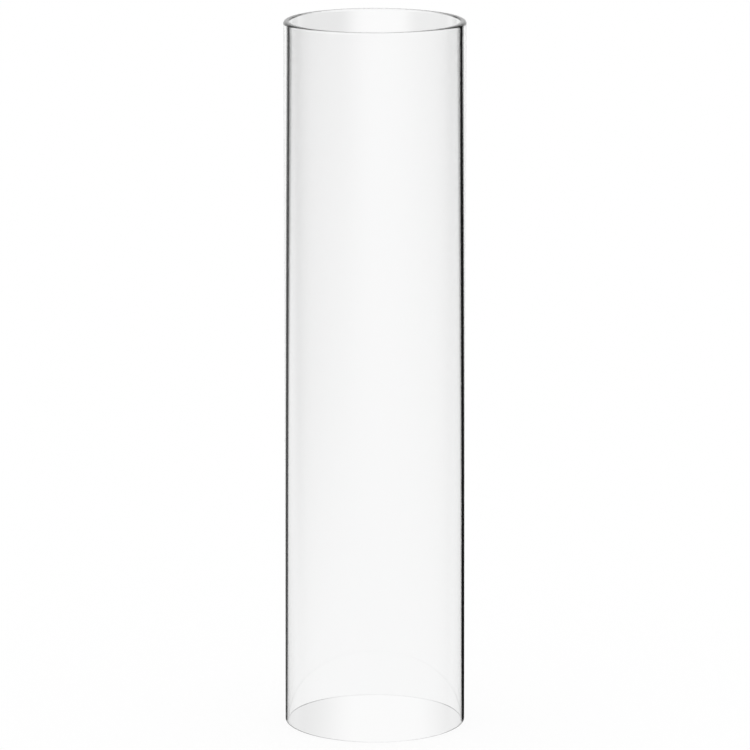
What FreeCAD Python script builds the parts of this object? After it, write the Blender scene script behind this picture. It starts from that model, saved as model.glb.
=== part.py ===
import FreeCAD, Part
import math
import os

# Glass candle chimney: one straight glass cylinder, open at both ends.
# It stands on its foot round a candle. The outside is of one width all the way up.
# The wall is even near the foot and thickens slowly inwards to the rim. The foot
# is cut square, ground flat and polished on both corners. The rim is ground level
# and softened in a flame, which rounds its outer edge more than its inner one.
# The origin is at the centre of the foot, and +Z runs up the axis. Lengths are
# in millimetres, angles in degrees.

# Glass cylinder
outer_diameter = 101.6
chimney_height = 400.0

# Wall: at the foot, the height up to which it stays even, and how much thicker it is at the rim
foot_wall = 1.7
even_wall_height = 59.5
rim_thickening = 1.6
thickening_handle_share = 1 / 3

# Foot: radius of the polished corners on each side of the ground land
foot_corner_radius = 0.6

# Rim: the rounded shoulders on each side of its level land
outer_shoulder_width = 1.4
outer_shoulder_height = 1.6
inner_shoulder_width = 0.5
inner_shoulder_height = 0.5
shoulder_handle_share = 0.55

# The most that one rounding may take of the wall it is on
rounding_limit_share = 0.45

FULL_TURN = 360.0
HALF_TURN = 180.0
QUARTER_TURN = 90.0


def point(radius, height):
    """A point of the half section, in the XZ plane."""
    return FreeCAD.Vector(radius, 0, height)


def line(start, end):
    """A straight edge of the half section."""
    return Part.LineSegment(start, end).toShape()


def arc(centre, radius, start_angle, end_angle):
    """A round edge of the half section, its angles counted from +X towards +Z."""
    points = []
    for angle in (start_angle, (start_angle + end_angle) / 2, end_angle):
        turn = math.radians(angle)
        offset = point(radius * math.cos(turn), radius * math.sin(turn))
        points.append(centre + offset)
    return Part.Arc(*points).toShape()


def curve(start, start_handle, end_handle, end):
    """A smooth edge of the half section that leaves and arrives along its two handles."""
    drawn = Part.BezierCurve()
    drawn.setPoles([start, start + start_handle, end - end_handle, end])
    return drawn.toShape()


def foot_edges(bore_radius, outer_radius, corner):
    """The ground land that the chimney stands on, with a polished corner each side."""
    inner_centre = point(bore_radius + corner, corner)
    outer_centre = point(outer_radius - corner, corner)
    return [
        arc(inner_centre, corner, HALF_TURN, HALF_TURN + QUARTER_TURN),
        line(point(bore_radius + corner, 0), point(outer_radius - corner, 0)),
        arc(outer_centre, corner, -QUARTER_TURN, 0),
    ]


def rim_edges(rim_radius, outer_radius, outer_width, inner_width):
    """The level land of the rim between its outer and inner shoulder."""
    outer_start = point(outer_radius, chimney_height - outer_shoulder_height)
    outer_end = point(outer_radius - outer_width, chimney_height)
    inner_start = point(rim_radius + inner_width, chimney_height)
    inner_end = point(rim_radius, chimney_height - inner_shoulder_height)
    outer_rise = point(0, outer_shoulder_height * shoulder_handle_share)
    outer_run = point(-outer_width * shoulder_handle_share, 0)
    inner_run = point(-inner_width * shoulder_handle_share, 0)
    inner_fall = point(0, -inner_shoulder_height * shoulder_handle_share)
    return [
        curve(outer_start, outer_rise, outer_run, outer_end),
        line(outer_end, inner_start),
        curve(inner_start, inner_run, inner_fall, inner_end),
    ]


def chimney_tube():
    """The whole chimney: its half section turned once round the axis."""
    outer_radius = outer_diameter / 2
    bore_radius = outer_radius - foot_wall
    rim_wall = foot_wall + rim_thickening
    rim_radius = outer_radius - rim_wall
    foot_corner = min(foot_corner_radius, foot_wall * rounding_limit_share)
    outer_width = min(outer_shoulder_width, rim_wall * rounding_limit_share)
    inner_width = min(inner_shoulder_width, rim_wall * rounding_limit_share)

    bore_top = point(rim_radius, chimney_height - inner_shoulder_height)
    bore_even = point(bore_radius, even_wall_height)
    fall = (bore_even.z - bore_top.z) * thickening_handle_share

    edges = foot_edges(bore_radius, outer_radius, foot_corner)
    outside_top = point(outer_radius, chimney_height - outer_shoulder_height)
    edges.append(line(point(outer_radius, foot_corner), outside_top))
    edges += rim_edges(rim_radius, outer_radius, outer_width, inner_width)
    edges.append(curve(bore_top, point(0, fall), point(0, fall), bore_even))
    edges.append(line(bore_even, point(bore_radius, foot_corner)))

    section = Part.Face(Part.Wire(edges))
    return section.revolve(point(0, 0), FreeCAD.Vector(0, 0, 1), FULL_TURN)


nodes = {
    "chimney_tube": chimney_tube(),
}

os.makedirs("parts", exist_ok=True)
for name, shape in nodes.items():
    shape.exportStep(os.path.join("parts", name + ".step"))
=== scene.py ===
# %% [markdown]
# # A glass candle chimney
#
# The real object is one straight cylinder of clear glass, about four inches across and four times
# as tall, and open at both ends. It stands round a candle to keep the draught off. The maker cuts it
# to length, grinds the foot flat so that it stands steady, and softens the top in a flame, which
# rounds the edge.
#
# Clear glass has hardly any colour of its own, so a render of it can only be as good as two things:
# a surface that is round to a thousandth of a millimetre, and surroundings worth bending. This
# lesson spends its cells on those two.

# %% Load the measured frame
import math

import bpy
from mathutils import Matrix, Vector


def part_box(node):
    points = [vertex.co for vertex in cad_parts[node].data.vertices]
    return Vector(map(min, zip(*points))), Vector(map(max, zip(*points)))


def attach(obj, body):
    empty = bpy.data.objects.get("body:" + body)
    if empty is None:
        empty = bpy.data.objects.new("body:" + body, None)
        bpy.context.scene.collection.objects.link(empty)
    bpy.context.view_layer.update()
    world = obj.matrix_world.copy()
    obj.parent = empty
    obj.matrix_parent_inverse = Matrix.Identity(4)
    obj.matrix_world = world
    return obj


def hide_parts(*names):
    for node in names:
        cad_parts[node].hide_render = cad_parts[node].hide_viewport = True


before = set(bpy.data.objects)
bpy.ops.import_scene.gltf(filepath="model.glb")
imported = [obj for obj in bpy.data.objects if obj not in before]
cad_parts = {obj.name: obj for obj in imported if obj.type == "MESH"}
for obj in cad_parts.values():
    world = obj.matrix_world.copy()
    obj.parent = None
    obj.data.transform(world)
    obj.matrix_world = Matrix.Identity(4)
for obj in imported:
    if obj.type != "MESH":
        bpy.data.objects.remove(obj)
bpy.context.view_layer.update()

# %% [markdown]
# ## Sizes
#
# The outside and the height come from the measured node, so they can't drift from it. The wall and
# the two worked ends are too small to read off a box, so they are written here as real sizes. The
# outside is taken from the widest of the four sides, because a measured mesh has flat facets whose
# middles lie a hair inside the true circle.

# %% Read the chimney's sizes
MM = 0.001
node_low, node_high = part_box("chimney_tube")
outer_radius = max(node_high.x, node_high.y, -node_low.x, -node_low.y)
height = node_high.z
foot_wall = 1.7 * MM
even_wall_height = 59.5 * MM
rim_thickening = 1.6 * MM
thickening_handle_share = 1 / 3
foot_corner = 0.6 * MM
outer_shoulder_width = 1.4 * MM
outer_shoulder_height = 1.6 * MM
inner_shoulder = 0.5 * MM
shoulder_handle_share = 0.55
bore_radius = outer_radius - foot_wall
rim_radius = bore_radius - rim_thickening
print(f"outside {outer_radius / MM:.2f} mm, bore {bore_radius / MM:.2f} mm, height {height / MM:.1f} mm")

# %% [markdown]
# ## Three kinds of stretch
#
# The chimney is a body of revolution, so its whole shape is in one outline: the wall cut open on one
# side. The outline has round corners, straight stretches and smooth curves, and one helper draws
# each kind.
#
# It could be drawn as a curve and spun with a Screw modifier. Here each point is worked out together
# with the direction that its surface faces. Those directions become the shading normals, and glass
# bends light by its normals, so they have to be the true ones and not an average of faces.

# %% Define the stretches
CORNER_STEPS = 10


def polished_corner(centre, start, end):
    """Points on a corner of the foot, with the directions they face, between two angles."""
    points = []
    for step in range(CORNER_STEPS + 1):
        angle = math.radians(start + (end - start) * step / CORNER_STEPS)
        facing = Vector((math.cos(angle), math.sin(angle)))
        points.append((Vector(centre) + foot_corner * facing, facing))
    return points


def straight_stretch(start, end, facing, steps):
    """Points along a straight stretch, without its two ends, which its neighbours bring."""
    start, end = Vector(start), Vector(end)
    return [(start.lerp(end, step / steps), Vector(facing)) for step in range(1, steps)]


def smooth_curve(start, start_handle, end_handle, end, steps):
    """Points along a curve that leaves its start and reaches its end along two handles."""
    start, end = Vector(start), Vector(end)
    poles = (start, start + Vector(start_handle), end - Vector(end_handle), end)
    legs = [ahead - behind for behind, ahead in zip(poles, poles[1:])]
    points = []
    for step in range(steps + 1):
        t = step / steps
        shares = ((1 - t) ** 3, 3 * t * (1 - t) ** 2, 3 * t * t * (1 - t), t ** 3)
        place = sum((share * pole for share, pole in zip(shares, poles)), Vector((0, 0)))
        slopes = ((1 - t) ** 2, 2 * t * (1 - t), t * t)
        along = sum((share * leg for share, leg in zip(slopes, legs)), Vector((0, 0)))
        points.append((place, Vector((along.y, -along.x)).normalized()))
    return points


print(f"angle between two points of a corner: {90 / CORNER_STEPS:.0f} degrees")

# %% [markdown]
# ## The section of the glass
#
# Following the outline once round gives a ground land at the foot with a polished corner each side,
# the straight outside, the level rim between its two rounded shoulders, and the bore. The bore is
# even near the foot and then closes in slowly, so that the wall is almost twice as thick at the rim.
#
# The small roundings get the most points, because there the light bends most from one point to the
# next. The closing curve starts where the inner shoulder ends, so its first point is left out.

# %% Work out the section
OUTSIDE_STEPS = 24
OUTER_SHOULDER_STEPS = 32
RIM_LAND_STEPS = 4
INNER_SHOULDER_STEPS = 20
CLOSING_BORE_STEPS = 24
EVEN_BORE_STEPS = 8
FOOT_LAND_STEPS = 3

outer_centre = (outer_radius - foot_corner, foot_corner)
outside_foot = (outer_radius, foot_corner)
outside_top = (outer_radius, height - outer_shoulder_height)
rim_land_out = (outer_radius - outer_shoulder_width, height)
rim_land_in = (rim_radius + inner_shoulder, height)
bore_top = (rim_radius, height - inner_shoulder)
bore_even = (bore_radius, even_wall_height)
bore_foot = (bore_radius, foot_corner)
inner_centre = (bore_radius + foot_corner, foot_corner)
foot_land_in = (bore_radius + foot_corner, 0)
foot_land_out = (outer_radius - foot_corner, 0)

outer_rise = (0, outer_shoulder_height * shoulder_handle_share)
outer_run = (-outer_shoulder_width * shoulder_handle_share, 0)
inner_run = (-inner_shoulder * shoulder_handle_share, 0)
inner_fall = (0, -inner_shoulder * shoulder_handle_share)
closing = (0, (bore_even[1] - bore_top[1]) * thickening_handle_share)

section = polished_corner(outer_centre, start=-90, end=0)
section += straight_stretch(outside_foot, outside_top, facing=(1, 0), steps=OUTSIDE_STEPS)
section += smooth_curve(outside_top, outer_rise, outer_run, rim_land_out, OUTER_SHOULDER_STEPS)
section += straight_stretch(rim_land_out, rim_land_in, facing=(0, 1), steps=RIM_LAND_STEPS)
section += smooth_curve(rim_land_in, inner_run, inner_fall, bore_top, INNER_SHOULDER_STEPS)
section += smooth_curve(bore_top, closing, closing, bore_even, CLOSING_BORE_STEPS)[1:]
section += straight_stretch(bore_even, bore_foot, facing=(-1, 0), steps=EVEN_BORE_STEPS)
section += polished_corner(inner_centre, start=180, end=270)
section += straight_stretch(foot_land_in, foot_land_out, facing=(0, -1), steps=FOOT_LAND_STEPS)
print("points in the section:", len(section))

# %% [markdown]
# ## Turning the section
#
# The section is repeated round the axis and joined with four-sided faces into one closed skin, with
# no seam and no end faces. A lathe does the same with clay. The number of turns matters more than
# usual: the outline of clear glass is a thin dark line, and a coarse circle would make it wander.

# %% Build the chimney
TURNS = 480


def turned(name, outline, turns):
    """A closed skin of revolution whose shading normals are the outline's own directions."""
    spots, normals, faces = [], [], []
    for turn in range(turns):
        angle = math.tau * turn / turns
        across = Vector((math.sin(angle), -math.cos(angle), 0))
        for place, facing in outline:
            spots.append(across * place.x + Vector((0, 0, place.y)))
            normals.append(across * facing.x + Vector((0, 0, facing.y)))
    count = len(outline)
    for turn in range(turns):
        here, there = turn * count, (turn + 1) % turns * count
        for step in range(count):
            ahead = (step + 1) % count
            faces.append((here + step, there + step, there + ahead, here + ahead))
    mesh = bpy.data.meshes.new(name)
    mesh.from_pydata(spots, [], faces)
    mesh.shade_smooth()
    mesh.normals_split_custom_set_from_vertices(normals)
    piece = bpy.data.objects.new(name, mesh)
    bpy.context.scene.collection.objects.link(piece)
    return piece


chimney = turned("clear_tube", section, TURNS)
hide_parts("chimney_tube")
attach(chimney, "root")
print("faces in the chimney:", len(chimney.data.polygons))

# %% [markdown]
# ## Writing shader maths as sums
#
# A material is a graph of small nodes. Wiring it by hand hides what it works out, so a socket is
# wrapped in a class that Python's own signs work on: `1 - mask` adds the Math node that does it. Any
# other kind of node comes from one method, which takes its type, its settings and its inputs. One
# more helper passes from a first value to a second one, which is what most masks are for.


# %% Define the graph helpers
class Signal:
    """An output socket. Arithmetic on it adds Math nodes to its graph."""

    def __init__(self, graph, socket):
        self.graph = graph
        self.socket = socket

    def __add__(self, other):
        return self.graph.maths("ADD", self, other)

    def __mul__(self, other):
        return self.graph.maths("MULTIPLY", self, other)

    def __sub__(self, other):
        return self.graph.maths("SUBTRACT", self, other)

    def __rsub__(self, other):
        return self.graph.maths("SUBTRACT", other, self)

    def __truediv__(self, other):
        return self.graph.maths("DIVIDE", self, other)

    def __rtruediv__(self, other):
        return self.graph.maths("DIVIDE", other, self)

    def __pow__(self, other):
        return self.graph.maths("POWER", self, other)

    def __rpow__(self, other):
        return self.graph.maths("POWER", other, self)

    def __gt__(self, other):
        return self.graph.maths("GREATER_THAN", self, other)

    def __lt__(self, other):
        return self.graph.maths("LESS_THAN", self, other)

    def __abs__(self):
        return self.graph.maths("ABSOLUTE", self)

    __radd__ = __add__
    __rmul__ = __mul__


class Graph:
    """A node tree that is built with one call for each node."""

    def __init__(self, owner):
        owner.use_nodes = True
        self.tree = owner.node_tree
        self.tree.nodes.clear()

    def node(self, kind, settings=None, inputs=None, output=0):
        """Adds a node and gives one of its outputs."""
        made = self.tree.nodes.new(kind)
        for name, value in (settings or {}).items():
            setattr(made, name, value)
        for key, value in (inputs or {}).items():
            if isinstance(value, Signal):
                self.tree.links.new(value.socket, made.inputs[key])
            else:
                made.inputs[key].default_value = value
        return Signal(self, made.outputs[output]) if made.outputs else None

    def maths(self, operation, *values):
        """A Math node on signals or numbers."""
        return self.node("ShaderNodeMath", {"operation": operation}, dict(enumerate(values)))

    def parts(self, vector):
        """The X, Y and Z of a vector."""
        first = self.node("ShaderNodeSeparateXYZ", inputs={"Vector": vector})
        return [Signal(self, socket) for socket in first.socket.node.outputs]

    def ramp(self, value, low, high):
        """Runs evenly from 0 to 1 while value runs from low to high."""
        inputs = {"Value": value, "From Min": low, "From Max": high}
        return self.node("ShaderNodeMapRange", {"interpolation_type": "LINEAR"}, inputs)

    def smooth(self, value, low, high, start=0.0, end=1.0):
        """Runs smoothly from start to end while value runs from low to high."""
        inputs = {"Value": value, "From Min": low, "From Max": high, "To Min": start, "To Max": end}
        return self.node("ShaderNodeMapRange", {"interpolation_type": "SMOOTHSTEP"}, inputs)


def mixed(first, second, share):
    """The first value where the share is 0, and the second where it is 1."""
    return first * (1 - share) + second * share


print("a quarter of the way from 2 to 6:", mixed(2, 6, 0.25))

# %% [markdown]
# ## The glass
#
# Clear glass is a Principled shader with all its weight on transmission and no roughness, and a
# refractive index of 1.5. Its colour is a hair off white, so that the glass greys slightly where
# light runs a long way in it. The land at the foot is the one place that isn't polished: it was
# ground on a wheel, so it is a fine frost, as wide as a pencil line.

# %% Make the glass
GLASS_COLOUR = (0.995, 0.996, 0.996, 1)
REFRACTIVE_INDEX = 1.5
FROST_ROUGHNESS = 0.35
FROST_FADES = 0.02 * MM
FROST_TOP = 0.12 * MM


def clear_glass():
    """Polished all over, and frosted where it stands."""
    material = bpy.data.materials.new("clear_glass")
    graph = Graph(material)
    place = graph.node("ShaderNodeNewGeometry", output="Position")
    up = graph.parts(place)[2]
    roughness = graph.smooth(up, FROST_FADES, FROST_TOP, FROST_ROUGHNESS, 0)
    glass = graph.node("ShaderNodeBsdfPrincipled", inputs={
        "Base Color": GLASS_COLOUR,
        "Roughness": roughness,
        "IOR": REFRACTIVE_INDEX,
        "Transmission Weight": 1.0,
    })
    graph.node("ShaderNodeOutputMaterial", inputs={"Surface": glass})
    return material


chimney.data.materials.append(clear_glass())
print("material on the chimney:", chimney.data.materials[0].name)

# %% [markdown]
# ## The studio
#
# Clear glass shows nothing but its surroundings. It is photographed against one bright field with
# dark cards beside it. The field shines straight through the middle of the cylinder, and its curved
# edges bend the cards into a thin dark line, which is what draws the object.
#
# Here the floor and the world play all of these, and what they show depends on what the glass has
# done to the ray. Light Path tells it: Glossy Depth counts the surfaces that turned the ray back,
# Transmission Depth those that it went through, and Diffuse Depth the times that the matte floor
# scattered it. The counts are whole, so each is tested half way between two of them. A ray that
# nothing has turned back sees white, as the camera does. Real cards would do for the dark line, but
# they would also darken the floor.

# %% Tell the rays apart
HALF_A_COUNT = 0.5


def at_least(count, whole):
    """1 where a count has reached a whole number, and 0 below it."""
    return count > whole - HALF_A_COUNT


def path_classes(graph):
    """What the glass has done to the ray, as masks of 0 and 1."""
    turns = graph.node("ShaderNodeLightPath", output="Glossy Depth")
    surfaces = graph.node("ShaderNodeLightPath", output="Transmission Depth")
    scatterings = graph.node("ShaderNodeLightPath", output="Diffuse Depth")
    turned_back = at_least(turns, 1)
    went_on = 1 - turned_back
    two_surfaces = at_least(surfaces, 2) - at_least(surfaces, 3)
    return {
        "met_glass": at_least(turns + surfaces, 1),
        "turned_back": turned_back,
        "off_the_skin": turned_back * (1 - at_least(surfaces, 1)),
        "in_one_wall": turned_back * (1 - at_least(turns, 2)) * two_surfaces,
        "crossed": turned_back * at_least(surfaces, 4),
        "through": went_on * at_least(surfaces, 2) * (1 - at_least(scatterings, 1)),
        "through_one_wall": went_on * two_surfaces,
    }


print("a count of 3 has reached 4:", at_least(3, 4), "and a count of 4 has:", at_least(4, 4))

# %% [markdown]
# ## The lane and its cards
#
# Behind the cylinder the bright field is a lane with a nearly black card along each edge. The glass
# mirrors the lane at its outermost edge and the card just inside that, so the card's first edge
# places the dark line and its second edge gives its width.
#
# Directions are in degrees from the lane's middle line. Both edges open out with the square root of
# the distance from the axis, which keeps the line at one width from the foot to the rim. On the
# right the lane's start is less than nothing, so it all but closes beside the foot. A little way out
# the lane is wider for light off the outer skin than for light that has been in the wall, and that
# sharpens the line. Each side has sizes of its own, because the line on the right is darker and
# finer.

# %% Size the lane and the cards
LANE_START = {"left": 2.6, "right": -3.1}
LANE_OPENING = {"left": 13.9, "right": 15.7}
LANE_SOFTNESS = {"left": 2.9, "right": 0.6}
SKIN_START = {"left": -4.1, "right": 2.8}
SKIN_OPENING = {"left": 9.1, "right": 6.1}
CARD_START = {"left": 19.2, "right": 23.8}
CARD_OPENING = {"left": 15.6, "right": 14.0}


def lane_edge(side, root, off_the_skin):
    """Where the lane ends and the card begins, in degrees, at the square root of a distance."""
    extra = SKIN_START[side] + SKIN_OPENING[side] * root
    return LANE_START[side] + LANE_OPENING[side] * root + extra * off_the_skin


def card_edge(side, root):
    """Where the card ends, in degrees, at the square root of a distance."""
    return CARD_START[side] + CARD_OPENING[side] * root


for side in ("left", "right"):
    start, end = lane_edge(side, 1, 0), card_edge(side, 1)
    print(f"{side} card one metre out: from {start:.1f} to {end:.1f} degrees")

# %% [markdown]
# ## The room beside the cards
#
# Past the cards the room starts as bright as the lane, darkens to each side and brightens again in
# front, behind the camera. Its light is what reflects faintly in the whole wall. Near the foot there
# is only pale floor, so there the room has one even level.

# %% Light the room
NEAR_LEVEL = 0.75
NEAR_REACH = 0.12
ROOM_REACH = {"left": 1.0, "right": 3.2}
SIDE_LEVEL = {"left": 0.06, "right": 0.23}
SIDE_START = 45
SIDE_FULL = 75
FRONT_LEVEL = 0.7
FRONT_START = 100
FRONT_FULL = 160


def room_level(graph, side, bearing, reach):
    """How bright the room is past the card."""
    beside = graph.smooth(bearing, SIDE_START, SIDE_FULL, 1, SIDE_LEVEL[side])
    brightening = FRONT_LEVEL - SIDE_LEVEL[side]
    in_front = graph.smooth(bearing, FRONT_START, FRONT_FULL, 0, brightening)
    away = graph.ramp(reach, NEAR_REACH, ROOM_REACH[side])
    return mixed(NEAR_LEVEL, beside + in_front, away)


print("room beside the left card:", SIDE_LEVEL["left"], "and the right:", SIDE_LEVEL["right"])

# %% [markdown]
# ## One side of the ring
#
# The lane, the card and the room follow one another round the cylinder, and together they make half
# a ring. The lane's edge is soft on the left and sharp on the right, as the two lines are in the
# glass, and the card's far edge is nearly sharp on both sides.

# %% Join one side
CARD_LEVEL = {"left": 0.07, "right": 0.01}
CARD_SOFTNESS = 1.0
LANE_LEVEL = 1


def half_ring(graph, side, bearing, reach, off_the_skin):
    """The brightness of the lane, the card and the room on one side."""
    root = reach**0.5
    past_lane = bearing - lane_edge(side, root, off_the_skin)
    past_card = bearing - card_edge(side, root)
    on_card = graph.smooth(past_lane, -LANE_SOFTNESS[side], LANE_SOFTNESS[side])
    in_room = graph.smooth(past_card, -CARD_SOFTNESS, CARD_SOFTNESS)
    room = room_level(graph, side, bearing, reach)
    return mixed(LANE_LEVEL, mixed(CARD_LEVEL[side], room, in_room), on_card)


print("left card's level:", CARD_LEVEL["left"], "and the right's:", CARD_LEVEL["right"])

# %% [markdown]
# ## Light that crossed the cylinder
#
# Some light is turned back only after it has gone in through one wall and across to the other. It
# lands on the far side of the axis, where a lane with sharp edges would paint a pale streak into the
# foot. It sees soft levels instead, dark behind the glass and bright in front.

# %% Light what crossed
CROSSED_START = {"left": 25, "right": 130}
CROSSED_FULL = 180
FARTHEST = 2.7


def half_crossed(graph, side, swing, reach):
    """What light that crossed the cylinder sees on one side."""
    far = graph.smooth(swing, CROSSED_START[side], CROSSED_FULL)
    return mixed(NEAR_LEVEL, far, graph.ramp(reach, NEAR_REACH, FARTHEST))


print("farthest distance that still changes the ring:", FARTHEST, "m")

# %% [markdown]
# ## The whole ring
#
# The two sides join at the lane's middle. One more card, a grey one, stands from 54 degrees
# outwards. Only light turned back once inside a single wall sees it, and it darkens the inner border
# of the line.

# %% Join the ring
INNER_CARD_START = 54
INNER_CARD_FULL = 74
INNER_CARD_LEVEL = 0.35


def ring_level(graph, azimuth, bearing, reach, paths):
    """How bright the ring is for turned light, at a bearing in degrees and a distance in metres."""
    on_right = azimuth > 0
    left = half_ring(graph, "left", bearing, reach, paths["off_the_skin"])
    right = half_ring(graph, "right", bearing, reach, paths["off_the_skin"])
    inner_card = paths["in_one_wall"] * graph.smooth(bearing, INNER_CARD_START, INNER_CARD_FULL)
    ring = mixed(mixed(left, right, on_right), INNER_CARD_LEVEL, inner_card)
    swing = abs(azimuth)
    left = half_crossed(graph, "left", swing, reach)
    right = half_crossed(graph, "right", swing, reach)
    return mixed(ring, mixed(left, right, on_right), paths["crossed"])


print("inner card from", INNER_CARD_START, "degrees, at a level of", INNER_CARD_LEVEL)

# %% [markdown]
# ## Where on the floor a ray lands
#
# A ray leaves the skin of the cylinder and not its axis, so near the foot the spot where it lands
# lies in another direction from the axis than the one the ray took. A ray that the skin mirrors
# passes the axis at the radius times the cosine of half its direction. That needs the direction
# itself, so it is found from the spot in a few rounds, each of which improves the last.

# %% Measure the floor's directions
BEARING_ROUNDS = 4
DEGREES = 180 / math.pi


def bearing_from_skin(graph, swing, distance):
    """The direction of a ray that left the skin, from where it lands, both in radians."""
    bearing = swing
    for _ in range(BEARING_ROUNDS):
        aside = outer_radius * graph.maths("COSINE", bearing / 2)
        lean = graph.maths("ARCSINE", graph.maths("MINIMUM", aside / distance, 1))
        bearing = graph.maths("MAXIMUM", swing - lean, 0)
    return bearing


print("rounds for each direction:", BEARING_ROUNDS)

# %% [markdown]
# ## The painted shade in the two ovals
#
# Inside the ovals of the rim and of the foot the camera looks through one wall only. There a painted
# shade makes the floor a little darker to each side, as a bright field is towards its edges.

# %% Paint the shade into the floor in the ovals
SHADE_START = {"left": 10 * MM, "right": 22 * MM}
SHADE_FULL = {"left": 40 * MM, "right": 46 * MM}
SHADE_DEPTH = {"left": 0.14, "right": 0.11}
SHADE_SPREAD = 0.34
SHADE_END = 80 * MM
SHADE_GONE = 200 * MM


def painted_oval_shade(graph, x, distance):
    """How much darker the floor is painted at x metres aside, as painted shade."""
    along = x / (1 + SHADE_SPREAD * distance)
    aside = abs(along)
    left, right = [
        graph.smooth(aside, SHADE_START[side], SHADE_FULL[side], 0, SHADE_DEPTH[side])
        for side in ("left", "right")
    ]
    near_axis = graph.smooth(aside, SHADE_END, SHADE_GONE, 1, 0)
    return near_axis * mixed(left, right, x > 0)


print("deepest shade:", max(SHADE_DEPTH.values()))

# %% [markdown]
# ## Under the foot
#
# The ground land rests on the floor, so right under the wall hardly any light gets in and the floor
# is painted dark there, a painted shadow. Within the bore it has an even level, as it has close
# round the outside.

# %% Paint the shadow under the foot
# painted shadow: the dark level of the floor right under the wall
CONTACT_SHADOW_LEVEL = 0.2
UNDER_WALL_START = outer_radius * 0.99
UNDER_WALL_END = outer_radius * 1.02
WITHIN_LEVEL = 0.75
WITHIN_START = bore_radius * 0.98


def under_foot(graph, ring, distance):
    """The ring, but a painted shadow under the wall and an even level within the bore."""
    beneath = graph.smooth(distance, UNDER_WALL_START, UNDER_WALL_END, 1, 0)
    within = graph.smooth(distance, WITHIN_START, bore_radius, 1, 0)
    return mixed(ring, mixed(CONTACT_SHADOW_LEVEL, WITHIN_LEVEL, within), beneath)


print("level under the wall:", CONTACT_SHADOW_LEVEL, "and within the bore:", WITHIN_LEVEL)

# %% [markdown]
# ## The floor
#
# The floor is pale and plain. Most of its light is its own, so that it is white and meets the
# backdrop without an edge. A tenth is a matte surface that keeps the faint shadow of the glass.
# Seen in or through the glass all of it glows, which keeps the picture there free of grain.

# %% Make the floor
FLOOR_SIZE = 60.0
FLOOR_DROP = 0.2 * MM
GLOW_SHARE = 0.9


def floor_material():
    """White to straight light, and the ring to light that the glass has turned back."""
    material = bpy.data.materials.new("pale_floor")
    graph = Graph(material)
    paths = path_classes(graph)
    place = graph.node("ShaderNodeNewGeometry", output="Position")
    x, y, _ = graph.parts(place)
    distance = graph.node("ShaderNodeVectorMath", {"operation": "LENGTH"}, {0: place}, output="Value")
    azimuth = graph.maths("ARCTAN2", x, y)
    bearing = bearing_from_skin(graph, abs(azimuth), distance) * DEGREES
    reach = graph.maths("MINIMUM", distance, FARTHEST)
    ring = ring_level(graph, azimuth * DEGREES, bearing, reach, paths)
    # turned light sees the ring, with the painted shadow under the wall
    seen_turned = under_foot(graph, ring, distance)
    # painted shade on the floor, seen only through one wall of the glass
    seen_straight = 1 - paths["through_one_wall"] * painted_oval_shade(graph, x, distance)
    level = mixed(seen_straight, seen_turned, paths["turned_back"])
    glow = graph.node("ShaderNodeEmission", inputs={"Color": level})
    matte = graph.node("ShaderNodeBsdfDiffuse", inputs={"Color": level})
    share = mixed(GLOW_SHARE, 1, paths["met_glass"])
    both = graph.node("ShaderNodeMixShader", inputs={"Fac": share, 1: matte, 2: glow})
    graph.node("ShaderNodeOutputMaterial", inputs={"Surface": both})
    return material


def lay_floor():
    """One large square, a hair below the foot."""
    half = FLOOR_SIZE / 2
    corners = [(-half, -half), (half, -half), (half, half), (-half, half)]
    mesh = bpy.data.meshes.new("floor")
    mesh.from_pydata([(x, y, -FLOOR_DROP) for x, y in corners], [], [(0, 1, 2, 3)])
    mesh.materials.append(floor_material())
    floor = bpy.data.objects.new("floor", mesh)
    bpy.context.scene.collection.objects.link(floor)
    return floor


floor = lay_floor()
print("nodes in the floor's material:", len(floor.active_material.node_tree.nodes))

# %% [markdown]
# ## The upper cards
#
# The rounded corners of the foot and of the rim bend some straight light upwards. There it finds the
# lane again, between two grey cards, so the foot is drawn as a fine grey line that fades out in the
# middle of its front. Black cards would draw the front better, and the back of the foot too dark.

# %% Size the upper cards
UPPER_LEVEL = 0.3
UPPER_LANE = {"left": 0.4, "right": 2.8}
UPPER_SOFTNESS = {"left": 2.5, "right": 0.8}


def beside_upper_lane(graph, azimuth):
    """1 over the two upper cards and 0 in the lane between them."""
    left, right = -UPPER_LANE["left"], UPPER_LANE["right"]
    on_left = graph.smooth(azimuth, left - UPPER_SOFTNESS["left"], left, 1, 0)
    on_right = graph.smooth(azimuth, right, right + UPPER_SOFTNESS["right"])
    return on_left + on_right


print(f"upper lane: {sum(UPPER_LANE.values()):.1f} degrees wide")

# %% [markdown]
# ## The world
#
# The world goes on where the floor ends. Turned light sees the same ring there, which passes into an
# even ceiling, and light that crossed the cylinder soon sees white. Straight light sees white, but
# for the upper cards.

# %% Make the world
CEILING_LEVEL = 0.9
CEILING_START = 0.2
CEILING_FULL = 0.8
RISEN_START = 0.08
RISEN_FULL = 0.2


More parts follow.
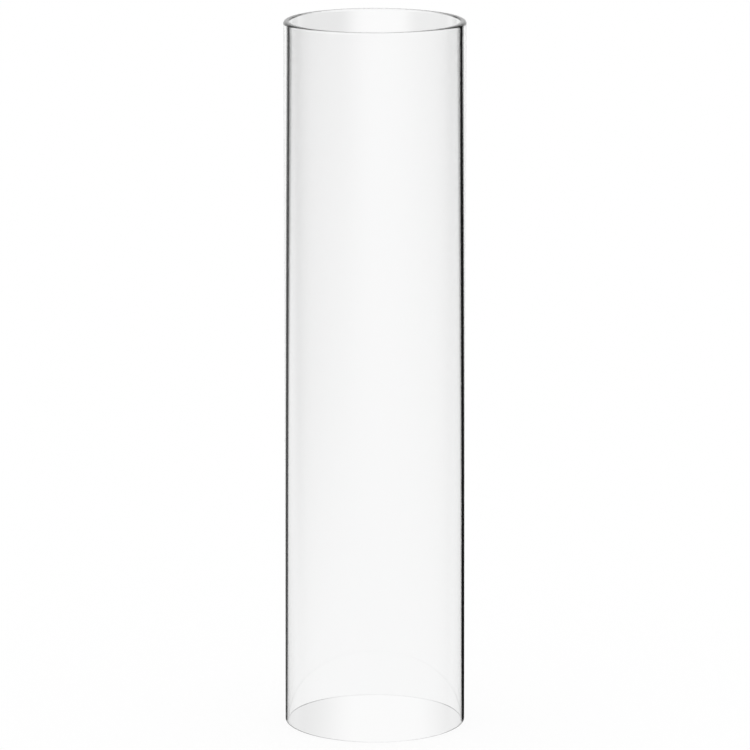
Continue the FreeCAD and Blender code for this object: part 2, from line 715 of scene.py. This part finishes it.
def surroundings():
    """The backdrop and all that stands in the room, by the direction of the ray."""
    world = bpy.data.worlds.new("studio")
    bpy.context.scene.world = world
    graph = Graph(world)
    paths = path_classes(graph)
    way = graph.node("ShaderNodeTexCoord", output="Generated")
    x, y, up = graph.parts(way)
    azimuth = graph.maths("ARCTAN2", x, y) * DEGREES
    ring = ring_level(graph, azimuth, abs(azimuth), FARTHEST, paths)
    ceiling = graph.smooth(up, CEILING_START, CEILING_FULL)
    risen = graph.smooth(up, RISEN_START, RISEN_FULL)
    seen_turned = mixed(ring, CEILING_LEVEL, ceiling)
    seen_turned = mixed(seen_turned, 1, paths["crossed"] * risen)
    carded = paths["through"] * risen * beside_upper_lane(graph, azimuth)
    seen_straight = mixed(1, UPPER_LEVEL, carded)
    level = mixed(seen_straight, seen_turned, paths["turned_back"])
    sky = graph.node("ShaderNodeBackground", inputs={"Color": level})
    graph.node("ShaderNodeOutputWorld", inputs={"Surface": sky})
    return world


studio = surroundings()
print("nodes in the world:", len(studio.node_tree.nodes))

# %% [markdown]
# ## The camera
#
# The photograph was taken with a long lens from about twelve degrees above, so the sides stay almost
# parallel while the rim and the foot show as flat ovals. A longer lens from further away would make
# the two ovals alike, and they aren't: the foot's is the rounder one.

# %% Place the camera
CAMERA_DISTANCE = 2.9036
CAMERA_ELEVATION = 11.933
AIM = Vector((0.07 * MM, 0, 0.19947))
LENS = 248.35
CLIP_END = 100


def place_camera():
    """A camera at the photograph's height, distance and lens."""
    tilt = math.radians(CAMERA_ELEVATION)
    back = Vector((0, -math.cos(tilt), math.sin(tilt)))
    lens = bpy.data.cameras.new("camera")
    lens.lens = LENS
    lens.clip_end = CLIP_END
    camera = bpy.data.objects.new("camera", lens)
    camera.location = AIM + back * CAMERA_DISTANCE
    camera.rotation_euler = (-back).to_track_quat("-Z", "Y").to_euler()
    bpy.context.scene.collection.objects.link(camera)
    bpy.context.scene.camera = camera
    return camera


camera = place_camera()
bpy.context.scene.view_settings.view_transform = "Standard"
print("camera in metres:", [round(v, 3) for v in camera.location])
